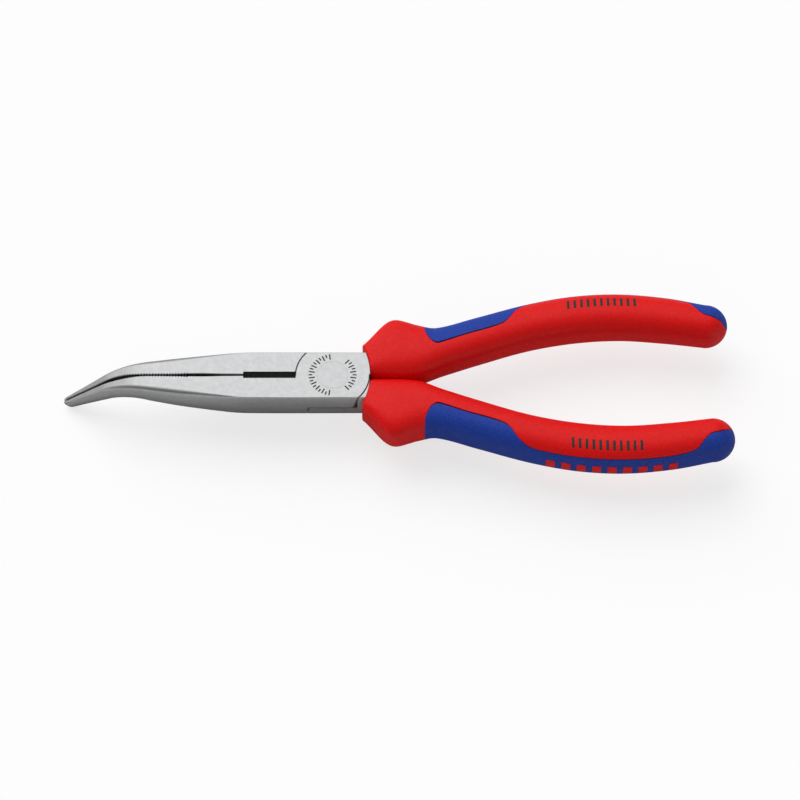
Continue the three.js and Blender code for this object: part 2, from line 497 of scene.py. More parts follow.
class Effects:
    """The shader node groups that more than one finish uses."""

    def __init__(self) -> None:
        """Builds each group once."""
        self.grain = self._grain()
        self.clouding = self._clouding()

    @staticmethod
    def _start(
        name: str, number: str, output: tuple[str, str]
    ) -> tuple[NodeSheet, bpy.types.Node, bpy.types.Node]:
        """A new group that takes coordinates, a scale and a number, and gives one output.

        Args:
            name: the group's name.
            number: the name of its number input.
            output: the name and socket type of its output.

        Returns:
            The group's nodes, its input node and its output node.
        """
        tree = bpy.data.node_groups.new(name, "ShaderNodeTree")
        tree.interface.new_socket("Coordinates", in_out="INPUT", socket_type="NodeSocketVector")
        for key in ("Scale", number):
            tree.interface.new_socket(key, in_out="INPUT", socket_type="NodeSocketFloat")
        tree.interface.new_socket(output[0], in_out="OUTPUT", socket_type=output[1])
        sheet = NodeSheet(tree)
        return sheet, sheet.add("NodeGroupInput"), sheet.add("NodeGroupOutput")

    @staticmethod
    def _group_noise(
        sheet: NodeSheet, source: bpy.types.Node, detail: float, roughness: float
    ) -> Socket:
        """A noise that takes its coordinates and scale from the group's inputs.

        Args:
            sheet: the group's nodes.
            source: the group's input node.
            detail: how many finer layers the noise has.
            roughness: how strong the finer layers are.

        Returns:
            The noise value.
        """
        noise = sheet.add("ShaderNodeTexNoise")
        noise.inputs["Detail"].default_value = detail
        noise.inputs["Roughness"].default_value = roughness
        sheet.wire(source.outputs["Coordinates"], noise.inputs["Vector"])
        sheet.wire(source.outputs["Scale"], noise.inputs["Scale"])
        return noise.outputs["Fac"]

    def _grain(self) -> bpy.types.NodeTree:
        """Fine moulded or ground grain, as a normal.

        Returns:
            The group.
        """
        sheet, source, result = self._start("surface_grain", "Depth", ("Normal", "NodeSocketVector"))
        bump = sheet.add("ShaderNodeBump")
        bump.inputs["Distance"].default_value = GRAIN_HEIGHT
        height = self._group_noise(sheet, source, detail=2.0, roughness=0.6)
        sheet.wire(height, bump.inputs["Height"])
        sheet.wire(source.outputs["Depth"], bump.inputs["Strength"])
        sheet.wire(bump.outputs["Normal"], result.inputs["Normal"])
        return sheet.tree

    def _clouding(self) -> bpy.types.NodeTree:
        """Soft uneven patches with finer ones in them, as a mask from 0 to 1.

        Returns:
            The group.
        """
        sheet, source, result = self._start("clouding", "Sharpness", ("Mask", "NodeSocketFloat"))
        middle = 0.5
        lifted = sheet.add("ShaderNodeMath", operation="SUBTRACT")
        lifted.inputs[1].default_value = middle
        sharper = sheet.add("ShaderNodeMath", operation="MULTIPLY_ADD", use_clamp=True)
        sharper.inputs[2].default_value = middle
        patches = self._group_noise(sheet, source, detail=5.0, roughness=0.65)
        sheet.wire(patches, lifted.inputs[0])
        sheet.wire(lifted.outputs["Value"], sharper.inputs[0])
        sheet.wire(source.outputs["Sharpness"], sharper.inputs[1])
        sheet.wire(sharper.outputs["Value"], result.inputs["Mask"])
        return sheet.tree


def use_group(
    sheet: NodeSheet, group: bpy.types.NodeTree, coordinates: Socket, **numbers: float
) -> Socket:
    """Places a group in a material with its own values.

    Args:
        sheet: the material's nodes.
        group: the shared effect.
        coordinates: what the pattern is laid on.
        numbers: values for the group's number inputs.

    Returns:
        The group's one output.
    """
    node = sheet.add("ShaderNodeGroup", node_tree=group)
    for key, value in numbers.items():
        node.inputs[key].default_value = value
    sheet.wire(coordinates, node.inputs["Coordinates"])
    return node.outputs[0]


def blank_material(name: str) -> tuple[bpy.types.Material, NodeSheet, bpy.types.Node]:
    """A new material with nothing but its shader.

    Args:
        name: the material's name.

    Returns:
        The material, its nodes and its shader.
    """
    material = bpy.data.materials.new(name)
    material.use_nodes = True
    return material, NodeSheet(material.node_tree), material.node_tree.nodes["Principled BSDF"]


@dataclass(frozen=True)
class GroundSteel:
    """Forged tool steel, ground and lightly oiled, with faint lengthwise grinding marks."""

    name: str
    bright: Colour = (0.66, 0.665, 0.67)
    dull: Colour = (0.585, 0.59, 0.595)
    # painted shade for the faces in the gaps between the jaws and in the cutter slot
    gap_shade: Colour = (0.26, 0.26, 0.27)
    roughness: tuple[float, float] = (0.30, 0.42)
    cloud_scale: float = 760.0
    cloud_sharpness: float = 3.0
    along_tool: tuple[float, float, float] = (0.12, 1.0, 1.0)
    marks_scale: float = 5200.0
    marks_detail: float = 2.0
    marks_edges: tuple[float, float] = (0.3, 0.7)
    grain_scale: float = 6500.0
    grain_depth: float = 0.06

    def make(self, effects: Effects) -> bpy.types.Material:
        """Builds the material.

        Args:
            effects: the shared node groups.

        Returns:
            The material.
        """
        material, sheet, shader = blank_material(self.name)
        shader.inputs["Metallic"].default_value = 1.0
        place = sheet.add("ShaderNodeTexCoord").outputs["Object"]
        clouds = use_group(
            sheet, effects.clouding, place, Scale=self.cloud_scale, Sharpness=self.cloud_sharpness
        )
        ground = sheet.tint(clouds, self.dull, self.bright)
        # painted shade: the marked faces in the gaps between the jaws and in the cutter slot get a dark
        # colour, as if in shade
        inner = sheet.add("ShaderNodeAttribute", attribute_name=GAP_SHADE_FACES).outputs["Fac"]
        sheet.wire(sheet.blend(inner, ground, self.gap_shade), shader.inputs["Base Color"])
        stretch = sheet.add("ShaderNodeMapping")
        stretch.inputs["Scale"].default_value = self.along_tool
        sheet.wire(place, stretch.inputs["Vector"])
        drawn_out = stretch.outputs["Vector"]
        marks = sheet.noise(drawn_out, self.marks_scale, self.marks_detail)
        roughness = sheet.spread(marks, *self.roughness, self.marks_edges)
        sheet.wire(roughness, shader.inputs["Roughness"])
        normal = use_group(
            sheet, effects.grain, drawn_out, Scale=self.grain_scale, Depth=self.grain_depth
        )
        sheet.wire(normal, shader.inputs["Normal"])
        return material


@dataclass(frozen=True)
class GripPlastic:
    """Matte moulded grip plastic with a spark-eroded grain."""

    name: str
    light: Colour
    deep: Colour
    roughness: tuple[float, float]
    grain_depth: float
    grain_scale: float = 2700.0
    cloud_scale: float = 1700.0
    cloud_sharpness: float = 3.0
    speckle_detail: float = 1.0
    speckle_edges: tuple[float, float] = (0.35, 0.65)
    specular: float = 0.23

    def make(self, effects: Effects) -> bpy.types.Material:
        """Builds the material.

        Args:
            effects: the shared node groups.

        Returns:
            The material.
        """
        material, sheet, shader = blank_material(self.name)
        shader.inputs["Specular IOR Level"].default_value = self.specular
        place = sheet.add("ShaderNodeTexCoord").outputs["Object"]
        clouds = use_group(
            sheet, effects.clouding, place, Scale=self.cloud_scale, Sharpness=self.cloud_sharpness
        )
        sheet.wire(sheet.tint(clouds, self.deep, self.light), shader.inputs["Base Color"])
        speckle = sheet.noise(place, self.grain_scale, self.speckle_detail)
        roughness = sheet.spread(speckle, *self.roughness, self.speckle_edges)
        sheet.wire(roughness, shader.inputs["Roughness"])
        normal = use_group(sheet, effects.grain, place, Scale=self.grain_scale, Depth=self.grain_depth)
        sheet.wire(normal, shader.inputs["Normal"])
        return material


@dataclass(frozen=True)
class PrintInk:
    """Dark marking ink or etching, slightly uneven."""

    name: str
    colour: Colour = (0.012, 0.01, 0.01)
    worn_factor: float = 1.8
    roughness: float = 0.55
    cloud_scale: float = 2500.0
    cloud_sharpness: float = 1.5

    def make(self, effects: Effects) -> bpy.types.Material:
        """Builds the material.

        Args:
            effects: the shared node groups.

        Returns:
            The material.
        """
        material, sheet, shader = blank_material(self.name)
        shader.inputs["Roughness"].default_value = self.roughness
        place = sheet.add("ShaderNodeTexCoord").outputs["Object"]
        clouds = use_group(
            sheet, effects.clouding, place, Scale=self.cloud_scale, Sharpness=self.cloud_sharpness
        )
        worn = tuple(self.worn_factor * c for c in self.colour)
        sheet.wire(sheet.tint(clouds, self.colour, worn), shader.inputs["Base Color"])
        return material


@dataclass(frozen=True)
class FloorPaint:
    """The plain pale floor, lit from within so that the tool's shadow on it stays faint."""

    name: str = "pale_floor"
    colour: Colour = (0.94, 0.94, 0.94)
    in_reflections: Colour = (0.37, 0.37, 0.37)
    shaded: Colour = (0.3, 0.3, 0.3)
    glow: Colour = (0.71, 0.71, 0.71)
    roughness: float = 0.9
    specular: float = 0.1

    def make(self) -> bpy.types.Material:
        """Builds the material.

        Returns:
            The material.
        """
        material, sheet, shader = blank_material(self.name)
        path = sheet.add("ShaderNodeLightPath")
        bounced = sheet.tint(path.outputs["Is Glossy Ray"], self.colour, self.in_reflections)
        seen = sheet.blend(path.outputs["Is Camera Ray"], bounced, self.shaded)
        sheet.wire(seen, shader.inputs["Base Color"])
        shader.inputs["Emission Color"].default_value = (*self.glow, 1)
        sheet.wire(path.outputs["Is Camera Ray"], shader.inputs["Emission Strength"])
        shader.inputs["Roughness"].default_value = self.roughness
        shader.inputs["Specular IOR Level"].default_value = self.specular
        return material


# --------------------------------------------------------------------------------------
# Steel
# --------------------------------------------------------------------------------------


@dataclass(frozen=True)
class HeadShape:
    """The outside of the head and nose: flat top and bottom, bulging sides, a bend downwards."""

    top_z: float
    tip_x: float
    flat_half_width: Track = Track(
        ((-12, 7.6), (25, 7.6), (31, 7.0), (45, 4.9), (57.5, 3.3), (72, 1.8), (86.4, 0.7))
    )
    side_bulge: Track = Track(
        ((-12, 0.7), (25, 0.7), (31, 1.3), (45, 2.2), (57.5, 2.0), (72, 1.4), (86.4, 0.6))
    )
    thickness: Track = Track(
        ((-12, 9.5), (25, 9.5), (31, 9.5), (45, 8.6), (57.5, 7.0), (72, 5.0), (86.4, 3.0))
    )
    mating_gap: Track = Track(
        (
            (27, 0.22),
            (33, 0.28),
            (37, 0.4),
            (42, 0.4),
            (47, 0.22),
            (57, 0.18),
            (62, 0.36),
            (66, 0.37),
            (70, 0.22),
            (77, 0.11),
            (86.4, 0.07),
        )
    )
    edge_break: float = 0.18
    bend_start: float = 54.8
    bend_radius: float = 21.8
    bend_angle: float = math.radians(40)
    side_steps: int = 22
    head_end: float = 25.0
    head_steps: int = 5
    taper_start: float = 26.5
    taper_end: float = 41.2
    taper_steps: int = 10
    teeth_start: float = 42.7
    tooth_pitch: float = 0.85
    tooth_depth: float = 0.3
    tip_round: float = 1.1
    tip_round_share: float = 0.98
    tip_steps: int = 6
    tip_side_cut: float = 0.25
    tip_bulge_loss: float = 0.7
    tip_top_cut: float = 0.25
    tip_bottom_cut: float = 0.7
    shoulder_gap: float = 0.1
    shoulder_steps: int = 4
    blank_steps: int = 6
    back_radius: float = 22.2
    back_x: float = 11.1
    back_segments: int = 256

    @property
    def bend_length(self) -> float:
        """The bend's length along the top line."""
        return self.bend_radius * self.bend_angle

    @property
    def length(self) -> float:
        """The nose's length along its top line, from the pivot to the tip."""
        flat_reach = -self.tip_x - self.bend_start - self.bend_radius * math.sin(self.bend_angle)
        return self.bend_start + self.bend_length + flat_reach / math.cos(self.bend_angle)

    def frame_at(self, distance: float) -> tuple[Vector, Vector]:
        """The top line's point and the direction down through the nose.

        Args:
            distance: how far along the top line from the pivot.

        Returns:
            The point and the unit direction.
        """
        into_bend = min(max((distance - self.bend_start) / self.bend_length, 0.0), 1.0)
        turned = into_bend * self.bend_angle
        straight = max(distance - self.bend_start - self.bend_length, 0.0)
        round_bend = self.bend_radius * math.sin(turned)
        x = -min(distance, self.bend_start) - round_bend - straight * math.cos(turned)
        z = self.top_z - self.bend_radius * (1 - math.cos(turned)) - straight * math.sin(turned)
        return Vector((x, 0, z)), Vector((math.sin(turned), 0, -math.cos(turned)))

    def side_outline(self, distance: float) -> list[tuple[float, float]]:
        """The side's curve from the top edge to the bottom edge.

        Args:
            distance: where along the nose.

        Returns:
            The curve as (out, down) pairs.
        """
        into_tip = max(distance - (self.length - self.tip_round), 0.0) / self.tip_round
        drawn_in = 1 - math.sqrt(max(1 - into_tip**2, 0.0))
        flat = self.flat_half_width.at(distance) - self.tip_side_cut * drawn_in
        bulge = self.side_bulge.at(distance) * (1 - self.tip_bulge_loss * drawn_in)
        high = self.tip_top_cut * drawn_in
        deep = self.thickness.at(distance) - self.tip_bottom_cut * drawn_in
        pairs = []
        for t in steps(0.0, math.pi, self.side_steps):
            pairs.append((flat + bulge * math.sin(t), high + (deep - high) * (1 - math.cos(t)) / 2))
        return pairs

    def half_ring(self, side: Side, distance: float, gap: float) -> list[Vector]:
        """One half's outline, closed along the mating face.

        Args:
            side: the half's side.
            distance: where along the nose.
            gap: how far the mating face stands off the centre plane.

        Returns:
            The outline's points, once round.
        """
        origin, down = self.frame_at(distance)
        pairs = self.side_outline(distance)
        high, deep = pairs[0][1], pairs[-1][1]
        middle = (high + deep) / 2
        chamfer = self.edge_break
        mating = [(gap + chamfer, deep), (gap, deep - chamfer), (gap, middle), (gap, high + chamfer)]
        outline = [(gap + chamfer, high), *pairs, *mating]
        return [origin + down * d + Vector((0, side.value * y, 0)) for y, d in outline]

    def full_ring(self, distance: float) -> list[Vector]:
        """Both halves' outline with no parting between them.

        Args:
            distance: where along the nose, below zero behind the pivot.

        Returns:
            The outline's points, once round.
        """
        origin, down = self.frame_at(distance)
        pairs = self.side_outline(distance)
        outline = [*pairs, *((-y, d) for y, d in reversed(pairs))]
        return [origin + down * d + Vector((0, y, 0)) for y, d in outline]

    def jaw(self, side: Side) -> bmesh.types.BMesh:
        """The jaw from the pivot's cross plane to the tip, toothed towards the tip.

        Args:
            side: the jaw's side.

        Returns:
            The closed body.
        """
        head = steps(0.0, self.head_end, self.head_steps)
        taper = steps(self.taper_start, self.taper_end, self.taper_steps)
        rings = [self.half_ring(side, d, self.mating_gap.at(d)) for d in (*head, *taper)]
        half_pitch = self.tooth_pitch / 2
        teeth = int((self.length - self.tip_round - self.teeth_start) / half_pitch)
        for k in range(teeth + 1):
            distance = self.teeth_start + k * half_pitch
            depth = self.tooth_depth if k % 2 else 0.0
            rings.append(self.half_ring(side, distance, self.mating_gap.at(distance) + depth))
        for t in steps(0.0, math.pi / 2, self.tip_steps):
            distance = self.length - self.tip_round * (1 - math.sin(t)) * self.tip_round_share
            rings.append(self.half_ring(side, distance, self.mating_gap.at(distance)))
        return loft(rings)

    def shoulder(self, side: Side, reach: float) -> bmesh.types.BMesh:
        """The block behind the joint, before its end is trimmed.

        Args:
            side: the shoulder's side.
            reach: how far it runs behind the pivot.

        Returns:
            The closed body.
        """
        places = steps(0.0, reach, self.shoulder_steps)
        return loft([self.half_ring(side, -x, self.shoulder_gap) for x in places])

    def back_disc(self) -> bmesh.types.BMesh:
        """The large disc whose rim ends both shoulders.

        Returns:
            The closed body.
        """
        top, bottom = self.top_z + OVERSHOOT_MM, -OVERSHOOT_MM
        profile = [(0, bottom), (self.back_radius, bottom), (self.back_radius, top), (0, top)]
        bm = turned_body(profile, self.back_segments)
        bmesh.ops.translate(bm, verts=bm.verts, vec=(self.back_x - self.back_radius, 0, 0))
        return bm

    def lap_blank(self, reach: float) -> bmesh.types.BMesh:
        """The undivided head for a distance on both sides of the pivot."""
        return loft([self.full_ring(-x) for x in steps(-reach, reach, self.blank_steps)])


@dataclass(frozen=True)
class Lap:
    """One lever's layer of the lap joint, and the pocket that the other lever's layer turns in."""

    outer_z: float
    inner_z: float
    draft: float
    radius: float = 10.85
    pocket_gap: float = 0.26
    chamfer: float = 0.12
    chamfers_to_draft: float = 6.0
    pocket_flare: float = 1.3
    overshoot: float = 1.2

    @property
    def _inward(self) -> float:
        """Plus or minus 1, from the layer's outer face towards the lap plane."""
        return math.copysign(1.0, self.inner_z - self.outer_z)

    def disc(self) -> bmesh.types.BMesh:
        """The layer's round outline, drawn in towards the lap plane, its outer rim broken.

        Returns:
            The closed body.
        """
        profile = [
            (0, self.outer_z),
            (self.radius - self.chamfer, self.outer_z),
            (self.radius, self.outer_z + self.chamfer * self._inward),
            (self.radius, self.outer_z + self.chamfers_to_draft * self.chamfer * self._inward),
            (self.radius - self.draft, self.inner_z),
            (0, self.inner_z),
        ]
        return turned_body(profile)

    def pocket(self, floor_z: float) -> bmesh.types.BMesh:
        """What is cut out of the other lever for this layer.

        Args:
            floor_z: the inner face of the other lever's own layer, down to which the pocket is cut.

        Returns:
            The cutting body.
        """
        wall = self.radius + self.pocket_gap
        above = self.outer_z - self.overshoot * self._inward
        profile = [
            (0, above),
            (wall + self.pocket_flare, above),
            (wall, self.outer_z + self.chamfer * self._inward),
            (wall, floor_z),
            (0, floor_z),
        ]
        return turned_body(profile)


@dataclass(frozen=True)
class CutterRecess:
    """The slot over and under the side cutter, with bevels down to the two cutting edges."""

    top_z: float
    start_x: float = -26.5
    end_x: float = -10.9
    half_width: float = 1.1
    half_edge_gap: float = 0.05
    edge_low_z: float = 4.4
    edge_high_z: float = 4.75
    bevel: float = 1.1

    def tool(self) -> bmesh.types.BMesh:
        """The body that is cut away.

        Returns:
            The closed body.
        """
        right = [
            (self.half_width, self.top_z + OVERSHOOT_MM),
            (self.half_width, self.edge_high_z + self.bevel),
            (self.half_edge_gap, self.edge_high_z),
            (self.half_edge_gap, self.edge_low_z),
            (self.half_width, self.edge_low_z - self.bevel),
            (self.half_width, -OVERSHOOT_MM),
        ]
        outline = [*right, *((-y, z) for y, z in reversed(right))]
        return loft([[Vector((x, y, z)) for y, z in outline] for x in (self.start_x, self.end_x)])


@dataclass(frozen=True)
class Tang:
    """The strip of steel inside a grip."""

    mid_z: float
    offset: Track = Track(
        ((6, 4.4), (10, 4.7), (13, 6.2), (22, 9.6), (33, 10.8), (58, 19.0), (80, 22.5), (104, 20.9))
    )
    half_width: Track = Track(
        ((6, 2.8), (12, 3.2), (22, 3.6), (33, 3.2), (58, 3.2), (80, 3.0), (104, 2.6))
    )
    half_thickness: Track = Track(
        ((6, 3.2), (12, 3.0), (22, 2.8), (33, 2.6), (58, 2.6), (80, 2.5), (104, 2.3))
    )
    start_x: float = 8.0
    end_x: float = 104.0
    rings: int = 32
    sides: int = 16
    corner_power: float = 0.5

    def body(self, side: Side) -> bmesh.types.BMesh:
        """The strip, with rounded-rectangle sections.

        Args:
            side: the side of its handle.

        Returns:
            The closed body.
        """
        rings = []
        for x in steps(self.start_x, self.end_x, self.rings):
            ring = []
            for angle in steps(0.0, 2 * math.pi, self.sides)[:-1]:
                across = signed_power(math.cos(angle), self.corner_power)
                up = signed_power(math.sin(angle), self.corner_power)
                y = self.offset.at(x) + self.half_width.at(x) * across
                z = self.mid_z + self.half_thickness.at(x) * up
                ring.append(Vector((x, side.value * y, z)))
            rings.append(ring)
        return loft(rings)


@dataclass
class Lever:
    """A forged lever: its jaw, its layer of the lap joint, the shoulder and the tang."""

    name: str
    jaw_side: Side
    head: HeadShape
    lap: Lap
    other_lap: Lap
    recess: CutterRecess
    tang: Tang
    rivet_bore: Callable[[], bmesh.types.BMesh]
    shoulder_reach: float = 13.0
    blank_reach: float = 11.4
    # limits of the faces that get painted shade in the gaps between the jaws
    gap_shade_facing: float = 0.75
    gap_shade_margin: float = 0.1

    def build(self) -> bpy.types.Object:
        """Builds the lever's mesh.

        Returns:
            The lever, in millimetres.
        """
        lever = to_object(self.name, self.head.jaw(self.jaw_side))
        handle_side = self.jaw_side.other
        shoulder = to_object("shoulder", self.head.shoulder(handle_side, self.shoulder_reach))
        join(shoulder, to_object("back_disc", self.head.back_disc()), Join.KEEP)
        join(lever, shoulder, Join.ADD)
        join(lever, to_object("tang", self.tang.body(handle_side)), Join.ADD)
        join(lever, to_object("pocket", self.other_lap.pocket(self.lap.inner_z)), Join.CUT)
        lap = to_object("lap", self.head.lap_blank(self.blank_reach))
        join(lap, to_object("disc", self.lap.disc()), Join.KEEP)
        join(lever, lap, Join.ADD)
        recess = to_object("recess", self.recess.tool())
        join(recess, to_object("disc", self.lap.disc()), Join.CUT)
        join(lever, recess, Join.CUT)
        join(lever, to_object("bore", self.rivet_bore()), Join.CUT)
        self._mark_gap_shade_faces(lever.data)
        return lever

    def _mark_gap_shade_faces(self, mesh: bpy.types.Mesh) -> None:
        """Marks the mating, toothed and cutting faces for painted shade, as they lie in the gaps between
        the jaws and in the cutter slot.

        Args:
            mesh: the lever's mesh.
        """
        # painted shade: marks the faces that face across the gap, lie within the cutter slot's width and
        # sit in front of the pivot
        inner = mesh.attributes.new(GAP_SHADE_FACES, "FLOAT", "FACE")
        for polygon in mesh.polygons:
            across = abs(polygon.normal.y) > self.gap_shade_facing
            near = abs(polygon.center.y) < self.recess.half_width + self.gap_shade_margin
            inner.data[polygon.index].value = float(across and near and polygon.center.x < 0)


@dataclass(frozen=True)
class Rivet:
    """The joint's rivet, its countersunk ends flush with the joint faces."""

    top_z: float
    head_radius: float
    shank_radius: float = 3.4
    head_depth: float = 1.2
    edge_break: float = 0.02
    segments: int = 96

    def _both_ends(self, upper: Sequence[tuple[float, float]]) -> bmesh.types.BMesh:
        """A turned body that is the same at both ends.

        Args:
            upper: its upper half's (radius, height) pairs, from the shank to the axis.

        Returns:
            The closed body.
        """
        lower = [(radius, self.top_z - z) for radius, z in reversed(upper)]
        return turned_body([*lower, *upper], self.segments)

    def body(self) -> bmesh.types.BMesh:
        """The rivet.

        Returns:
            The closed body.
        """
        upper = [
            (self.shank_radius, self.top_z - self.head_depth),
            (self.head_radius, self.top_z - self.edge_break),
            (self.head_radius - self.edge_break, self.top_z),
            (0, self.top_z),
        ]
        return self._both_ends(upper)

    def bore(self, clearance: float = 0.02) -> bmesh.types.BMesh:
        """The hole that it lies in.

        Args:
            clearance: the space around the rivet.

        Returns:
            The cutting body.
        """
        rim = self.head_radius + clearance
        upper = [
            (self.shank_radius + clearance, self.top_z - self.head_depth),
            (rim, self.top_z - clearance),
            (rim + clearance, self.top_z + clearance),
            (rim + clearance, self.top_z + OVERSHOOT_MM),
            (0, self.top_z + OVERSHOOT_MM),
        ]
        return self._both_ends(upper)


# --------------------------------------------------------------------------------------
# Grips
# --------------------------------------------------------------------------------------


@dataclass(frozen=True)
class GripShape:
    """The outside of one grip, as a section that changes along the tool."""

    side: Side
    mid_z: float
    end_x: float
    inner_side: Track = Track(
        (
            (7, 0.35),
            (25, 0.5),
            (33, 3.5),
            (43, 7.1),
            (58, 12.0),
            (72, 14.8),
            (86, 15.8),
            (100, 14.8),
            (112, 13.3),
        )
    )
    outer_side: Track = Track(
        (
            (7, 11.2),
            (8, 12.0),
            (9.5, 13.5),
            (11.3, 15.5),
            (13.5, 17.9),
            (15.5, 19.6),
            (17.3, 20.4),
            (19.2, 20.45),
            (22, 19.7),
            (25.4, 18.7),
            (31, 17.8),
            (43, 21.4),
            (58, 26.0),
            (72, 28.9),
            (86, 29.7),
            (100, 28.4),
            (112, 25.9),
        )
    )
    half_thickness: Track = Track(((7, 5.4), (18, 6.2), (100, 6.2), (112, 6.0)))
    squareness: Track = Track(((7, 3.2), (20, 2.9), (32, 2.45), (112, 2.35)))
    start_x: float = 7.0
    cap_start_x: float = 112.0
    front_radius: float = 22.3
    front_x: float = 11.3
    front_reach: float = 20.0
    front_fading: float = 1.5
    front_corner_y: float = 10.5

    def point(self, x: float, angle: float, lift: float = 0.0) -> Vector:
        """A point of the surface.

        Args:
            x: the section's place along the tool.
            angle: round the section, 0 on the outer side and a quarter turn on top.
            lift: how far above the surface.

        Returns:
            The point, in millimetres.
        """
        inner, outer = self.inner_side.at(x), self.outer_side.at(x)
        past = max(x - self.cap_start_x, 0.0) / (self.end_x - self.cap_start_x)
        rounded = math.sqrt(max(1 - past * past, 0.0))
        power = 2 / self.squareness.at(x)
        half_width = (outer - inner) / 2 * rounded + lift
        half_height = self.half_thickness.at(x) * rounded + lift
        y = (inner + outer) / 2 + half_width * signed_power(math.cos(angle), power)
        z = half_height * signed_power(math.sin(angle), power)
        return Vector((self._drawn_back(x, y), self.side.value * y, self.mid_z + z))

    def _drawn_back(self, x: float, y: float) -> float:
        """Curves the front end round the joint.

        Args:
            x: the section's place along the tool.
            y: how far the point lies from the centre plane.

        Returns:
            The point's own place along the tool.
        """
        share = max(1 - (x - self.start_x) / self.front_reach, 0.0) ** self.front_fading
        centre = self.front_x - self.front_radius
        arc = centre + math.sqrt(self.front_radius**2 - min(y, self.front_corner_y) ** 2)
        return x + share * (arc - self.start_x)


@dataclass(frozen=True)
class InsertOutline:
    """Where the soft insert's edge runs, as a half angle of the section along the tool."""

    start_x: float = 27.3
    full_x: float = 31.7
    end_x: float = 118.25
    start_angle: float = 45.0
    spread: Track = Track(
        (
            (31.7, 91),
            (38, 90),
            (50, 89.5),
            (52.4, 83),
            (54.6, 62),
            (57.4, 45),
            (61, 40),
            (85, 39.5),
            (99, 40),
            (104, 43.5),
            (107, 52),
            (108.8, 72),
            (110.7, 85),
            (113.3, 90),
            (115.4, 96),
            (117, 110),
            (118.25, 150),
        )
    )

    def half_angle(self, x: float) -> float:
        """The insert's half angle.

        Args:
            x: the section's place along the tool.

        Returns:
            The half angle, in radians.
        """
        if x <= self.start_x:
            return math.radians(self.start_angle)
        if x < self.full_x:
            left = (self.full_x - x) / (self.full_x - self.start_x)
            widening = self.spread.at(self.full_x) - self.start_angle
            return math.radians(self.start_angle + widening * math.sqrt(1 - left * left))
        return math.radians(self.spread.at(x))


@dataclass(frozen=True)
class BarRow:
    """A row of plain bars on a grip, with places in millimetres and angles in degrees."""

    first_x: float
    last_x: float
    spaces: int
    width: float
    angles: tuple[float, float]
    lift: float
    root: float = 0.4
    steps_across: int = 6


